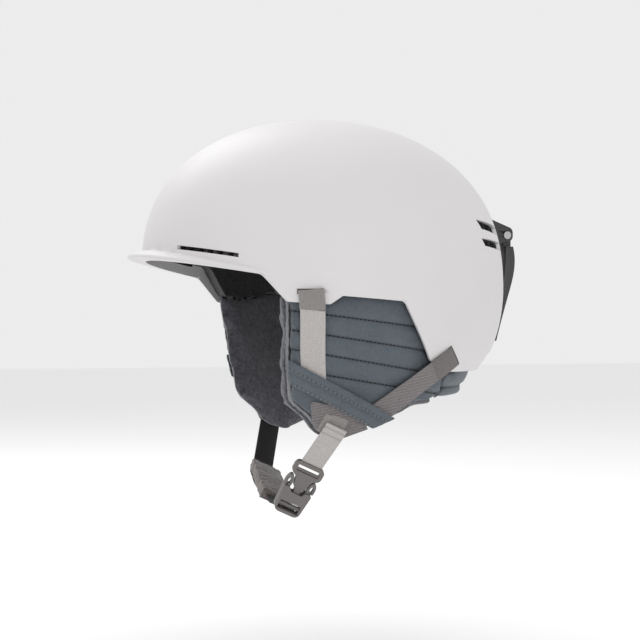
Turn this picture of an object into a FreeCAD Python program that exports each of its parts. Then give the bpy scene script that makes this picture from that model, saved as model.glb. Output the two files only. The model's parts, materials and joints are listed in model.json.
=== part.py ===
"""Ski helmet with a short brim, quilted ear pads, a webbing chin strap and a goggle strap retainer.

Millimetres. +Z is up, -Y is the front, +X is the wearer's left. The origin is the middle of the
head's widest level, where the head sits. Each sub-part is one closed solid or one small group of them.
"""
import FreeCAD, Part
import math
import os
from FreeCAD import Matrix, Placement, Rotation, Vector

# --- Dome of the shell -------------------------------------------------------------------------
half_length = 126.5        # front to back, half
half_width = 106.0         # side to side, half
crown_height = 107.0       # origin level to the top
depth_scale = 112.0        # how deep the sides would run before closing under the head
forward_lean = 0.05        # the crown leans forward by this share of its height
upper_power = (2.3, 2.1)   # roundness of the upper meridian, up and out
lower_power = (2.2, 2.2)   # roundness of the lower meridian
shell_wall = 2.6           # hard shell
skin_gap = 0.3             # shell to liner, and between stacked cloth layers
liner_wall = 21.0          # foam liner
comfort_wall = 6.0         # comfort pads inside the liner
seam_turn = -75.0          # where the surface of revolution closes, degrees about +Z
# --- Brim and rim ------------------------------------------------------------------------------
brim_centre_y = -20.0      # middle of the brim's plan ellipse
brim_reach = 12.5          # the brim's tip stands this far in front of the dome
brim_half_length = half_length + brim_reach + brim_centre_y
brim_half_width = half_width - 7.0
brim_rise = 10.5           # degrees that the brim plane climbs to the front
brim_thickness = 3.0
rim_corner_y = -69.0       # where the brim plane meets the temple cut
rim_corner_z = -1.0
liner_setback = 8.0        # the liner's edge stands this far above the shell's at the brow
beyond = 175.0             # further out than any piece: the open ends of an outline
beside = 135.0             # further out than either side
# --- Vents and strap slots ---------------------------------------------------------------------
brow_vent_height = 2.6
brow_vent_level = 9.6      # above the brim plane
brow_vent_span = (21.4, 44.3)   # degrees from the front, seen from above
vent_wall = 3.0            # louvre behind a vent
webbing_width = 15.0
webbing_thickness = 1.6
slot_height = 2 * webbing_thickness
slot_clearance = 0.6
front_slot = (-40.2, -11.9)     # Y, Z of the slot's middle
rear_slot = (65.2, -54.6)
rear_slot_turn = -50.3
# --- Ear pads ----------------------------------------------------------------------------------
cover_thickness = 6.0
lining_thickness = 8.0
piping_width = 3.2
sleeve_width = 13.5
sleeve_thickness = 1.4
snap_radius = 3.5
snap_half = 5.0                 # half of a snap pin's length
snap_clearance = 0.1
# --- Chin loop ---------------------------------------------------------------------------------
tab_line = (-17.0, -104.0)      # Y, Z of the line that the chin loop hangs from
loop_lean = 25.0                # degrees forward of vertical
loop_clearance = 2.7            # tab to chin strap, so that the loop can swing
mouth = (53.5, -42.8)           # buckle mouth in the loop's plane: across, up
buckle_lean = 21.4              # degrees between the buckle and straight up
chin_bend_right = (-47.0, -33.4)    # where the right strap turns under the chin
chin_bend_left = (30.0, -57.4)      # and where it turns up to the buckle
chin_pad_span = (0.10, 0.86)    # share of the run between those two that the pad covers
chin_pad_width = webbing_width + 9.0
chin_pad_thickness = 9.0
# --- Buckle ------------------------------------------------------------------------------------
female_length = 18.0
female_width = webbing_width + 5.5
female_wall = 1.5               # beside the cavity
female_thickness = 7.4
cavity_depth = 8.4
male_length = 19.8
male_thickness = 3.6
play = 0.4                      # between the buckle's moving pieces
# --- Goggle strap retainer ---------------------------------------------------------------------
pivot_stand = 10.98             # hinge pin's middle to the shell
pivot_z = 29.0
pivot_radius = 1.6
knuckle_radius = 4.6
retainer_half_width = 9.0
knuckle_half = 5.9              # the arm's knuckle, between the bracket's ears
ear_thickness = 3.2
bracket_wall = 3.2
seat_gap = 0.15                 # bracket and stud to the shell's skin
stud_z = -37.0
stud_radius = 2.6


def lean_y(level):
    """Middle of the dome's horizontal section, front to back."""
    return -forward_lean * level


def girth(level):
    """Share of the full length and width that the dome keeps at a level."""
    if level > 0:
        share, (up, out) = level / crown_height, upper_power
    else:
        share, (up, out) = -level / depth_scale, lower_power
    return max(0.0, 1 - share ** up) ** (1 / out)


def rear_y(level):
    """The shell's rearmost point at a level."""
    return half_length * girth(level) + lean_y(level)


def dome(inset, bottom=-78.0):
    """Solid dome, smaller all round by inset."""
    width = half_width - inset
    top = crown_height - inset
    low = depth_scale - inset
    bottom = max(bottom, -0.97 * low)
    points = []
    for step in range(10):
        turn = math.radians(90 - 10 * step)
        points.append(Vector(width * math.cos(turn) ** (2 / upper_power[1]), 0,
                             top * math.sin(turn) ** (2 / upper_power[0])))
    last = math.degrees(math.asin((-bottom / low) ** (lower_power[0] / 2)))
    for step in range(1, 6):
        turn = math.radians(last * step / 5)
        points.append(Vector(width * math.cos(turn) ** (2 / lower_power[1]), 0,
                             -low * math.sin(turn) ** (2 / lower_power[0])))
    points[0] = Vector(0, 0, top)
    meridian = Part.BSplineCurve()
    meridian.interpolate(Points=points, InitialTangent=Vector(1, 0, 0),
                         FinalTangent=(points[-1] - points[-2]).normalize())
    foot = Vector(0, 0, bottom)
    outline = Part.Wire([meridian.toShape(), Part.makeLine(points[-1], foot),
                         Part.makeLine(foot, points[0])])
    solid = Part.Face(outline).revolve(Vector(0, 0, 0), Vector(0, 0, 1), 360)
    solid.rotate(Vector(0, 0, 0), Vector(0, 0, 1), seam_turn)
    stretch = Matrix()
    stretch.A22 = (half_length - inset) / width
    stretch.A23 = -forward_lean
    return solid.transformGeometry(stretch)


def corners(points):
    """Fillet arcs of an outline: (start, middle, end) per point, for (a, b, radius) points."""
    result = []
    count = len(points)
    for i, (a, b, radius) in enumerate(points):
        here = Vector(a, b, 0)
        back = Vector(*points[i - 1][:2], 0) - here
        ahead = Vector(*points[(i + 1) % count][:2], 0) - here
        if not radius:
            result.append((here, None, here))
            continue
        back.normalize()
        ahead.normalize()
        half = back.getAngle(ahead) / 2
        reach = radius / math.tan(half)
        middle = here + (back + ahead).normalize() * (radius / math.sin(half) - radius)
        result.append((here + back * reach, middle, here + ahead * reach))
    return result


def outline_face(points):
    """Flat face in the XY plane from (a, b, corner radius) points."""
    arcs = corners(points)
    edges = []
    for i, (start, middle, end) in enumerate(arcs):
        if middle:
            edges.append(Part.Arc(start, middle, end).toShape())
        following = arcs[(i + 1) % len(arcs)][0]
        if (following - end).Length > 1e-6:
            edges.append(Part.makeLine(end, following))
    return Part.Face(Part.Wire(edges))


SIDE_VIEW = Placement(Vector(), Rotation(Vector(0, 1, 0), Vector(0, 0, 1), Vector(1, 0, 0), "XYZ"))


def side_prism(points, low=20.0, high=beside):
    """Prism along X with a (Y, Z, corner radius) outline."""
    solid = outline_face(points).extrude(Vector(0, 0, high - low))
    solid.translate(Vector(0, 0, low))
    solid.Placement = SIDE_VIEW * solid.Placement
    return solid


def strip_prism(start, end, width, low=20.0, high=beside):
    """Prism along X over a straight strip between two (Y, Z) points."""
    run = Vector(end[0] - start[0], end[1] - start[1], 0).normalize()
    across = Vector(-run.y, run.x, 0) * (width / 2)
    ends = (Vector(*start, 0), Vector(*end, 0))
    points = [ends[0] + across, ends[1] + across, ends[1] - across, ends[0] - across]
    return side_prism([(p.x, p.y, 0) for p in points], low, high)


def both_sides(shape):
    """The piece on the wearer's left, and its mirror image on the right."""
    return {"left": shape, "right": shape.mirror(Vector(0, 0, 0), Vector(1, 0, 0))}


def box(x, y, z):
    """Box from three (low, high) pairs."""
    return Part.makeBox(x[1] - x[0], y[1] - y[0], z[1] - z[0], Vector(x[0], y[0], z[0]))


# --- Cloth and webbing lie on tapered bodies: level, half width, half length, middle ------------
def shell_station(level, out):
    keep = girth(level)
    return (level, half_width * keep + out, half_length * keep + out, lean_y(level))


PAD_BODY = [(-4.0, half_width - 6.0, half_length - 9.0, 0.0),
            (-30.0, half_width - 8.5, half_length - 12.0, 1.5),
            (-60.0, half_width - 17.5, half_length - 24.5, 3.0),
            (-85.0, half_width - 26.0, half_length - 36.0, 2.5),
            (-112.0, half_width - 36.5, half_length - 44.5, 0.0)]


def pad_station(level, out):
    """Ellipse of the pad body at a level, larger all round by out."""
    for high, low in zip(PAD_BODY, PAD_BODY[1:]):
        if high[0] >= level >= low[0]:
            share = (high[0] - level) / (high[0] - low[0])
            row = [a + (b - a) * share for a, b in zip(high, low)]
            return (level, row[1] + out, row[2] + out, row[3])
    raise ValueError("level outside the pad")


def pad_x(y, level, out):
    """Distance from the middle plane out to the pad body's side."""
    _, half_x, half_y, middle = pad_station(level, out)
    return half_x * math.sqrt(1 - ((y - middle) / half_y) ** 2)


off_shell = 0.7            # strap to shell
off_pad = 1.4              # strap to pad
PAD_FOOT = [pad_station(-85.0, off_pad), pad_station(-112.0, off_pad)]
FRONT_STRAP_BODY = [shell_station(-2.0, off_shell), shell_station(-22.0, off_shell),
                    pad_station(-50.0, off_pad)] + PAD_FOOT
REAR_STRAP_BODY = [shell_station(-2.0, off_shell), shell_station(-22.0, off_shell),
                   shell_station(-44.0, off_shell), shell_station(-66.0, 0.9)] + PAD_FOOT


def tapered(stations, inset):
    """Solid through horizontal ellipses, smaller all round by inset."""
    rings = []
    for level, half_x, half_y, middle in stations:
        centre = Vector(0, middle, level)
        ellipse = Part.Ellipse(centre - Vector(0, half_y - inset, 0),
                               centre + Vector(half_x - inset, 0, 0), centre)
        rings.append(Part.Wire(ellipse.toShape()))
    return Part.makeLoft(rings, True, False)


def layer(stations, outer, inner):
    """Skin between two insets of a tapered body."""
    return tapered(stations, outer).cut(tapered(stations, inner))


# --- Shell ---------------------------------------------------------------------------------------
brim_slope = math.tan(math.radians(brim_rise))


def brim_level(y):
    """Height of the brim plane at a distance front or back."""
    return rim_corner_z + (rim_corner_y - y) * brim_slope


def rim_outline():
    """Side outline of what the rim keeps."""
    return [(-beyond, brim_level(-beyond), 0), (rim_corner_y, rim_corner_z, 7), (-53.4, -18.6, 3),
            (-27.2, -20.3, 2), (-19.5, -14.8, 2), (22.4, -18.2, 6), (46.4, -57.2, 5), (61.0, -65.3, 7),
            (94.0, -65.3, 8), (105.5, -53.0, 6), (beyond, -53.0, 0), (beyond, beyond, 0),
            (-beyond, beyond, 0)]


def brim_frame(shape):
    """Stretch a ring about +Z to the brim's plan ellipse, then lay it in the brim plane."""
    stretch = Matrix()
    stretch.A11 = brim_half_width / brim_half_length
    shape = shape.transformGeometry(stretch)
    shape.rotate(Vector(0, 0, 0), Vector(1, 0, 0), -brim_rise)
    shape.translate(Vector(0, brim_centre_y, brim_level(brim_centre_y)))
    return shape


def brim():
    """Flared lip, thin at the edge and swept up into the dome."""
    reach = brim_half_length
    low, edge = -4.0, brim_thickness
    points = [Vector(reach - 45, 0, low), Vector(reach - 0.5, 0, low), Vector(reach, 0, 0.6),
              Vector(reach - 1.6, 0, edge), Vector(reach - 9.5, 0, edge + 3.6),
              Vector(reach - 15.5, 0, edge + 13.0), Vector(reach - 45, 0, edge + 13.0)]
    edges = [Part.makeLine(points[0], points[1]), Part.makeLine(points[1], points[2]),
             Part.Arc(points[2], Vector(reach - 0.35, 0, edge - 0.9), points[3]).toShape(),
             Part.makeLine(points[3], points[4]),
             Part.Arc(points[4], Vector(reach - 13.2, 0, edge + 7.0), points[5]).toShape(),
             Part.makeLine(points[5], points[6]), Part.makeLine(points[6], points[0])]
    face = Part.Face(Part.Wire(edges))
    ring = face.revolve(Vector(0, 0, 0), Vector(0, 0, 1), 360)
    front = box((-beside, beside), (-beyond, rim_corner_y + 12), (-40, 60))
    return brim_frame(ring).common(front)


def wedge(first, last, reach=beyond):
    """Upright wedge from the middle axis between two angles off the front, on the left side."""
    points = [Vector(0, 0, -60)]
    for turn in (first, (first + last) / 2, last):
        turn = math.radians(turn)
        points.append(Vector(reach * math.sin(turn), -reach * math.cos(turn), -60))
    return Part.Face(Part.makePolygon(points + points[:1])).extrude(Vector(0, 0, 180))


def brow_channel(height, grow):
    """Slot of the brow vent, following the brim plane."""
    slab = box((-beyond, beyond), (-220, 60), (brow_vent_level - height / 2, brow_vent_level + height / 2))
    slab.rotate(Vector(0, 0, 0), Vector(1, 0, 0), -brim_rise)
    slab.translate(Vector(0, brim_centre_y, brim_level(brim_centre_y)))
    return slab.common(wedge(brow_vent_span[0] - grow, brow_vent_span[1] + grow))


REAR_VENTS = ([(34, 25.6), (69.2, 30.6), (71.2, 36.8), (34, 32.4)],
              [(34, 15.4), (70.7, 19.1), (72.6, 24.2), (34, 21.8)])


def rear_channel(points, grow):
    """Slot of a rear vent, along Y, larger all round by grow."""
    (x0, z0), (x1, z1), (x2, z2), (x3, z3) = points
    wide = [(x0 - grow, z0 - grow), (x1 + grow, z1 - grow), (x2 + grow, z2 + grow), (x3 - grow, z3 + grow)]
    wire = Part.makePolygon([Vector(x, 50, z) for x, z in wide + wide[:1]])
    return Part.Face(wire).extrude(Vector(0, beyond - 50, 0))


def strap_slots(thick, low):
    """Front and rear strap slots on the left side, as cutting prisms."""
    length = webbing_width + 2 * slot_clearance
    y, z = front_slot
    front = side_prism([(y - length / 2, z - thick / 2, 0.8), (y + length / 2, z - thick / 2, 0.8),
                        (y + length / 2, z + thick / 2, 0.8), (y - length / 2, z + thick / 2, 0.8)], low)
    turn = math.radians(rear_slot_turn)
    along = Vector(math.cos(turn), math.sin(turn), 0) * (length / 2)
    middle = Vector(*rear_slot, 0)
    rear = strip_prism((middle - along)[:2], (middle + along)[:2], thick, low)
    return front, rear


def outer_shell():
    shell = dome(0).fuse(brim())
    shell = shell.cut(dome(shell_wall))
    shell = shell.common(side_prism(rim_outline(), -beside, beside))
    cuts = [brow_channel(brow_vent_height, 0)] + [rear_channel(points, 0) for points in REAR_VENTS]
    cuts += list(strap_slots(slot_height, 60.0))
    for cut in cuts:
        for side in both_sides(cut).values():
            shell = shell.cut(side)
    return shell


def snap_places():
    """Y of the pins that hold an ear pad up against the liner."""
    return (-40.0, 0.0, 28.0)


def snap_pins(clearance):
    """Upright pins across the joint between liner and ear pad, on the left side."""
    radius, half = snap_radius + clearance, snap_half + 2 * clearance
    pins = []
    for y in snap_places():
        rim = pad_top(y)
        side = PAD_BODY[0][1] * math.sqrt(1 - (y / PAD_BODY[0][2]) ** 2) - 8.5
        pins.append(Part.makeCylinder(radius, 2 * half, Vector(side, y, rim - half)))
    return Part.makeCompound(pins)


def pad_top(y):
    """Level of the liner's edge above the ear pad."""
    return -14.5 if y < -25 else -12.0 - 0.08 * y


LINER_RIM = [(-beyond, brim_level(-beyond) + liner_setback, 0),
             (rim_corner_y + 3, rim_corner_z + liner_setback, 5),
             (-53.0, pad_top(-53) + 0.4, 3), (-24.0, pad_top(-24 - 2) + 0.4, 2),
             (-18.0, pad_top(-18) + 0.4, 2), (30.0, pad_top(30) + 0.4, 5), (50.0, -57.0, 5),
             (95.0, -57.0, 8), (106.0, -46.0, 6), (beyond, -46.0, 0), (beyond, beyond, 0),
             (-beyond, beyond, 0)]


def side_x(y, z, inset):
    """Distance from the middle plane out to a dome's side."""
    share = (y - lean_y(z)) / (half_length * girth(z) - inset)
    return (half_width * girth(z) - inset) * math.sqrt(1 - share ** 2)


def anchor_bars(grow, near, far):
    """Bars behind the front and rear slots, from near to far inside the shell's side."""
    bars = []
    for (y, z), turn in ((front_slot, 0.0), (rear_slot, rear_slot_turn)):
        turn = math.radians(turn)
        half = (webbing_width / 2 + slot_clearance + 0.3 + grow)
        along = (half * math.cos(turn), half * math.sin(turn))
        side = side_x(y, z, shell_wall)
        bars.append(strip_prism((y - along[0], z - along[1]), (y + along[0], z + along[1]),
                                4.4 + 2 * grow, side - far, side - near))
    return bars


def layer_dome(outer, inner):
    return dome(outer).cut(dome(inner))


def eps_liner():
    outer = shell_wall + skin_gap
    liner = layer_dome(outer, outer + liner_wall)
    liner = liner.common(side_prism(LINER_RIM, -beside, beside))
    cuts = [brow_channel(brow_vent_height + 4, 2)]
    cuts += [rear_channel(points, 1.6) for points in REAR_VENTS]
    cuts += anchor_bars(0.5, -9.0, 9.0) + [snap_pins(snap_clearance)]
    for cut in cuts:
        for side in both_sides(cut).values():
            liner = liner.cut(side)
    return liner


def brow_insert():
    """Louvre behind a brow vent: a plate with short upright ribs."""
    outer = shell_wall + skin_gap
    plate = layer_dome(outer, outer + vent_wall).common(brow_channel(brow_vent_height + 3.4, 1.7))
    span = brow_vent_span[1] - brow_vent_span[0]
    cells = 6
    for i in range(cells):
        first = brow_vent_span[0] + span * (i + 0.12) / cells
        cell = brow_channel(brow_vent_height, 0).common(wedge(first, first + span * 0.76 / cells))
        plate = plate.cut(cell)
    return plate


def rear_insert():
    """Louvres behind the two rear vents of one side."""
    outer = shell_wall + skin_gap
    skin = layer_dome(outer, outer + vent_wall)
    pieces = []
    for points in REAR_VENTS:
        plate = skin.common(rear_channel(points, 1.3))
        for i in range(3):
            left = 36.5 + 11.2 * i
            hole = rear_channel(points, -1.0).common(box((left, left + 8.6), (50, 150), (0, 60)))
            plate = plate.cut(hole)
        pieces.append(plate)
    return Part.makeCompound(pieces)


# --- Comfort pads inside the liner -------------------------------------------------------------------
def comfort(region):
    outer = shell_wall + 2 * skin_gap + liner_wall
    return layer_dome(outer, outer + comfort_wall).common(region)


def brow_pad():
    band = [(-beyond, brim_level(-beyond) + liner_setback - 1.5, 0), (-62, 7.5, 4), (-62, 33, 8),
            (-beyond, 46, 0)]
    return comfort(side_prism(band, -beside, beside))


def crown_pad():
    strip = box((-15, 15), (-52, 58), (40, 120))
    cross = box((-48, 48), (-14, 14), (40, 120))
    return comfort(strip.fuse(cross))


def side_pad():
    return comfort(side_prism([(-42, 2, 6), (38, 0, 6), (38, 34, 6), (-42, 38, 6)]))


def rear_pad():
    band = [(66, -40, 6), (beyond, -34, 0), (beyond, -3, 0), (66, -12, 6)]
    return comfort(side_prism(band, -beside, beside))


# --- Ear pads ------------------------------------------------------------------------------------------
PAD_TOP = [(-53.6, pad_top(-53), 3), (-24.0, pad_top(-26), 2), (-18.0, pad_top(-18), 2),
           (30.0, pad_top(30), 6), (50.0, -57.6, 4), (62.0, -57.6, 0)]
PAD_BOTTOM = [(62.0, -83.6, 0), (41.4, -87.4, 9), (25.0, -95.7, 9), (6.4, -103.5, 8), (-11.2, -110.0, 3),
              (-26.4, -104.2, 5), (-33.4, -94.2, 6), (-45.5, -84.0, 9), (-50.2, -56.0, 20)]


def pad_outline(inset=0.0):
    """Side outline of the ear pad; its front and lower edges move in by inset."""
    edge = [(y, z + inset, r) for y, z, r in PAD_BOTTOM[:5]]
    edge += [(y + inset, z + 0.4 * inset, r) for y, z, r in PAD_BOTTOM[5:]]
    top = [(PAD_TOP[0][0] + inset, PAD_TOP[0][1], 2)] + PAD_TOP[1:]
    return top + edge


def ear_pad_cover():
    pad = layer(PAD_BODY, 0, cover_thickness).common(side_prism(pad_outline(piping_width)))
    return pad.cut(snap_pins(snap_clearance))


def ear_pad_lining():
    inner = cover_thickness + skin_gap
    pad = layer(PAD_BODY, inner, inner + lining_thickness).common(side_prism(pad_outline(1.0)))
    return pad.cut(snap_pins(snap_clearance))


def ear_pad_piping():
    ring = layer(PAD_BODY, 0.4, 0.4 + piping_width)
    ring = ring.common(side_prism(pad_outline(0))).cut(side_prism(pad_outline(piping_width - 0.2)))
    keep = side_prism([(-70, -10, 0), (-20, -10, 0), (-20, -130, 0), (-70, -130, 0)])
    return ring.common(keep)


def neck_roll():
    thick = cover_thickness + lining_thickness
    region = side_prism([(62.5, -63.4, 0), (74.5, -63.4, 0), (79.0, -58.0, 0), (96.0, -58.0, 7),
                         (107.0, -47.0, 6), (beyond, -47.0, 0), (beyond, -80.0, 0), (90.0, -81.0, 10),
                         (62.5, -83.6, 0)], -beside, beside)
    return layer(PAD_BODY, 0, thick).common(region)


# --- Harness webbing ------------------------------------------------------------------------------------
stub_depth = 3.0           # the webbing goes this far in behind the shell
tab_out = skin_gap + webbing_thickness
FRONT_STRAP_END = (-29.4, -88.0)
REAR_STRAP_END = (12.0, -92.5)
SLEEVE = ((-52.0, -62.0), (24.0, -102.5))


def webbing(body, start, end, slot, turn):
    """Strap down the outside of the pad, with a stub in through its slot."""
    run = layer(body, -webbing_thickness, 0).common(strip_prism(start, end, webbing_width))
    turn = math.radians(turn)
    half = Vector(math.cos(turn), math.sin(turn), 0) * (webbing_width / 2)
    middle = Vector(*slot, 0)
    through = strip_prism((middle - half)[:2], (middle + half)[:2], webbing_thickness)
    stub = tapered(body, 0.0).cut(dome(shell_wall + stub_depth)).common(through)
    return run.fuse(stub).removeSplitter()


def front_strap():
    top = (front_slot[0], front_slot[1] + webbing_thickness / 2)
    return webbing(FRONT_STRAP_BODY, top, FRONT_STRAP_END, front_slot, 0.0)


def rear_strap():
    return webbing(REAR_STRAP_BODY, rear_slot, REAR_STRAP_END, rear_slot, rear_slot_turn)


def strap_anchors():
    """Plastic bars inside the shell, longer than the slots."""
    inside = dome(shell_wall + stub_depth + skin_gap)
    return Part.makeCompound([bar.common(inside) for bar in anchor_bars(0.0, -6.0, 8.0)])


def strap_tab():
    """Stitched corner where the front and rear webbing meet below the sleeve."""
    region = side_prism([(-32.6, -90.0, 2), (-27.0, -103.2, 2), (-11.2, -108.8, 2), (7.0, -102.4, 0),
                         (4.0, -98.0, 0)])
    return layer(PAD_BODY, -tab_out, -skin_gap).common(region)


def strap_sleeve():
    """Sewn sleeve across the ear pad, over the webbing."""
    start, end = SLEEVE
    under = webbing_thickness + 2 * skin_gap
    skin = layer(FRONT_STRAP_BODY, -under - sleeve_thickness, -under)
    return skin.common(strip_prism(start, end, sleeve_width)).common(side_prism(pad_outline(0.3)))


# --- Chin loop: drawn flat in its own plane, then leaned forward about the tab line ------------------------
lean = math.radians(loop_lean)
loop_half_width = pad_x(*tab_line, tab_out) + webbing_thickness / 2 + 0.2 + loop_clearance
UP = Vector(0, math.sin(lean), math.cos(lean))
ACROSS = Vector(0, math.cos(lean), -math.sin(lean))
LOOP_PLANE = Placement(Vector(0, *tab_line), Rotation(Vector(1, 0, 0), UP, Vector(1, 0, 0).cross(UP), "XYZ"))
buckle_turn = math.radians(buckle_lean)
BUCKLE_AXIS = Vector(math.sin(buckle_turn), 0, 0) + UP * math.cos(buckle_turn)
MOUTH_POINT = LOOP_PLANE.multVec(Vector(*mouth, 0))
BUCKLE_PLANE = Placement(MOUTH_POINT, Rotation(ACROSS, BUCKLE_AXIS, ACROSS.cross(BUCKLE_AXIS), "XYZ"))


def ribbon(points, thickness, width):
    """Band along a (across, up, corner radius) path in the loop's plane, centred on it."""
    fan = [Vector(a, b, 0) for a, b, _ in points]
    sides = []
    for side in (thickness / 2, -thickness / 2):
        edges, last = [], None
        for i, (a, b, radius) in enumerate(points):
            here = fan[i]
            if i in (0, len(points) - 1):
                run = (fan[1] - fan[0] if i == 0 else fan[-1] - fan[-2]).normalize()
                spots = [here + Vector(-run.y, run.x, 0) * side]
            else:
                before = (here - fan[i - 1]).normalize()
                after = (fan[i + 1] - here).normalize()
                bend = before.getAngle(after)
                sign = 1 if before.cross(after).z > 0 else -1
                start = here - before * radius * math.tan(bend / 2)
                centre = start + Vector(-before.y, before.x, 0) * radius * sign
                size = radius - sign * side
                out = (here - centre).normalize()
                spots = [centre + Vector(before.y, -before.x, 0) * size * sign, centre + out * size,
                         centre + Vector(after.y, -after.x, 0) * size * sign]
            if last:
                edges.append(Part.makeLine(last, spots[0]))
            if len(spots) == 3:
                edges.append(Part.Arc(*spots).toShape())
            last = spots[-1]
        sides.append(edges)
    first, second = sides
    caps = [Part.makeLine(first[0].Vertexes[0].Point, second[0].Vertexes[0].Point),
            Part.makeLine(first[-1].Vertexes[-1].Point, second[-1].Vertexes[-1].Point)]
    face = Part.Face(Part.Wire(Part.__sortEdges__(first + second + caps)))
    solid = face.extrude(Vector(0, 0, width))
    solid.translate(Vector(0, 0, -width / 2))
    solid.Placement = LOOP_PLANE * solid.Placement
    return solid


def on_buckle(along):
    """Point of the loop's plane on the buckle's middle line, along from its mouth."""
    return (mouth[0] + along * math.sin(buckle_turn), mouth[1] + along * math.cos(buckle_turn))


LADDER = male_length - 5.2     # mouth to the strap opening of the male half
WINDOW = 5.4 - female_length   # mouth to the strap bar of the female half
strap_top = 4.0                # the chin straps start this far above the tab line
strap_flare = 1.6              # and lean out this much there


def chin_strap_left():
    """Doubled webbing from the tab down to the male half."""
    path = [(loop_half_width + strap_flare, strap_top, 0), (loop_half_width, 0, 12),
            (*on_buckle(male_length + play), 0)]
    return ribbon(path, webbing_thickness + 0.4, webbing_width)


def chin_strap_right():
    """Webbing from the other tab, through the chin pad, to the female half's bar."""
    side = loop_half_width + 1.5
    bar = on_buckle(WINDOW)
    path = [(-side - strap_flare, strap_top, 0), (-side, 0, 12), (*chin_bend_right, 12),
            (*chin_bend_left, 14), (bar[0] - 2.3, bar[1] - 0.3, 0)]
    return ribbon(path, webbing_thickness, webbing_width)


def under_chin(share):
    """Point of the right strap between its two bends."""
    (a0, b0), (a1, b1) = chin_bend_right, chin_bend_left
    return (a0 + share * (a1 - a0), b0 + share * (b1 - b0), 0)


def chin_pad():
    """Soft sleeve that slides on the strap under the chin."""
    ends = [under_chin(share) for share in chin_pad_span]
    pad = ribbon(ends, chin_pad_thickness, chin_pad_width)
    return pad.cut(ribbon(ends, webbing_thickness + skin_gap, webbing_width + 0.4))


def chin_strap_tail():
    """Loose end of the webbing, held under the pad's far end."""
    across, up = chin_bend_right
    path = [(across - 5.5, up + 0.6, 0), (across - 0.6, up - 7.2, 4), (across + 22.0, up - 14.6, 0)]
    return ribbon(path, webbing_thickness, webbing_width - 1)


# --- Buckle: drawn with its width along X, its axis along Y and its thickness along Z ----------------------
def slab(points, thickness):
    solid = outline_face(points).extrude(Vector(0, 0, thickness))
    solid.translate(Vector(0, 0, -thickness / 2))
    return solid


def centred_box(x, y, thickness):
    return box(x, y, (-thickness / 2, thickness / 2))


female_half = female_width / 2
cavity_half = female_half - female_wall


def buckle_female():
    """Socket half: side arms catch in its flanks, and a window leaves a bar for the webbing."""
    half = female_half
    body = slab([(-half + 1.2, -female_length, 4), (half - 1.2, -female_length, 4), (half, 0.6, 1.5),
                 (half - 4.4, 0.6, 1.2), (half - 6.4, -2.4, 2), (-half + 6.4, -2.4, 2),
                 (-half + 4.4, 0.6, 1.2), (-half, 0.6, 1.5)], female_thickness)
    cavity = centred_box((-cavity_half, cavity_half), (-cavity_depth, 5), male_thickness + 2 * play)
    window = centred_box((-half + 2.6, half - 2.6), (-female_length + 2.0, -cavity_depth - 1.0), 20)
    bar = Part.makeCylinder(1.5, female_width - 4, Vector(-half + 2, WINDOW, 0), Vector(1, 0, 0))
    return body.cut(cavity).cut(window).fuse(bar)


def buckle_male():
    """Plug half: a ladder frame for the webbing, a neck, and a guide spine down the middle."""
    half = female_half + 0.4
    neck = cavity_half - 4.55
    top = male_length
    frame = slab([(-half, top - 8.4, 3.5), (-neck - 1.5, 8.6, 2), (-neck, 2.0, 2), (-2.4, 0.5, 1),
                  (-2.0, -cavity_depth + 1.0, 1), (2.0, -cavity_depth + 1.0, 1), (2.4, 0.5, 1),
                  (neck, 2.0, 2), (neck + 1.5, 8.6, 2), (half, top - 8.4, 3.5), (half, top, 3.4),
                  (-half, top, 3.4)], male_thickness)
    reach = webbing_width / 2 + slot_clearance
    opening = centred_box((-reach, reach), (LADDER - 1.9, LADDER + 2.6), 9)
    bar = Part.makeCylinder(1.1, 2 * reach + 0.8, Vector(-reach - 0.4, LADDER - 0.9, 0), Vector(1, 0, 0))
    return frame.cut(opening).fuse(bar)


ARM_ROOT = (cavity_half - 2.75, 7.4)      # where a latch arm bends, beside the neck


def oval(x, y, half_x, half_y, thick):
    """Upright oval plate, centred on the buckle's middle plane."""
    centre = Vector(x, y, 0)
    ring = Part.Ellipse(centre + Vector(0, half_y, 0), centre + Vector(half_x, 0, 0), centre)
    plate = Part.Face(Part.Wire(ring.toShape())).extrude(Vector(0, 0, thick))
    plate.translate(Vector(0, 0, -thick / 2))
    return plate


def buckle_arm():
    """Latch arm with an oval thumb loop, on the +X side of the buckle."""
    side, tip = cavity_half, 1.2 - cavity_depth
    thick = male_thickness + 0.6
    thumb = oval(side - 0.45, 3.6, 2.6, 5.4, thick).cut(oval(side - 0.45, 3.6, 1.2, 3.0, thick))
    thumb = thumb.common(box((side - 3.55, side + 12), (0.9, 20), (-9, 9)))
    prong = slab([(side - 3.35, tip, 1), (side - 0.85, tip, 1.2), (side - 0.25, 2.2, 0.5),
                  (side - 2.55, 2.2, 0.5)], male_thickness - play)
    return thumb.fuse(prong)


# --- Goggle strap retainer at the back ---------------------------------------------------------------
pivot_y = rear_y(pivot_z) + pivot_stand
stud_y = rear_y(stud_z)
stud_out = Vector(0, pivot_z - stud_z, stud_y - pivot_y).normalize()


def crossbar(radius, first, last):
    """Round bar along X through the hinge, from first to last."""
    return Part.makeCylinder(radius, last - first, Vector(first, pivot_y, pivot_z), Vector(1, 0, 0))


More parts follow.
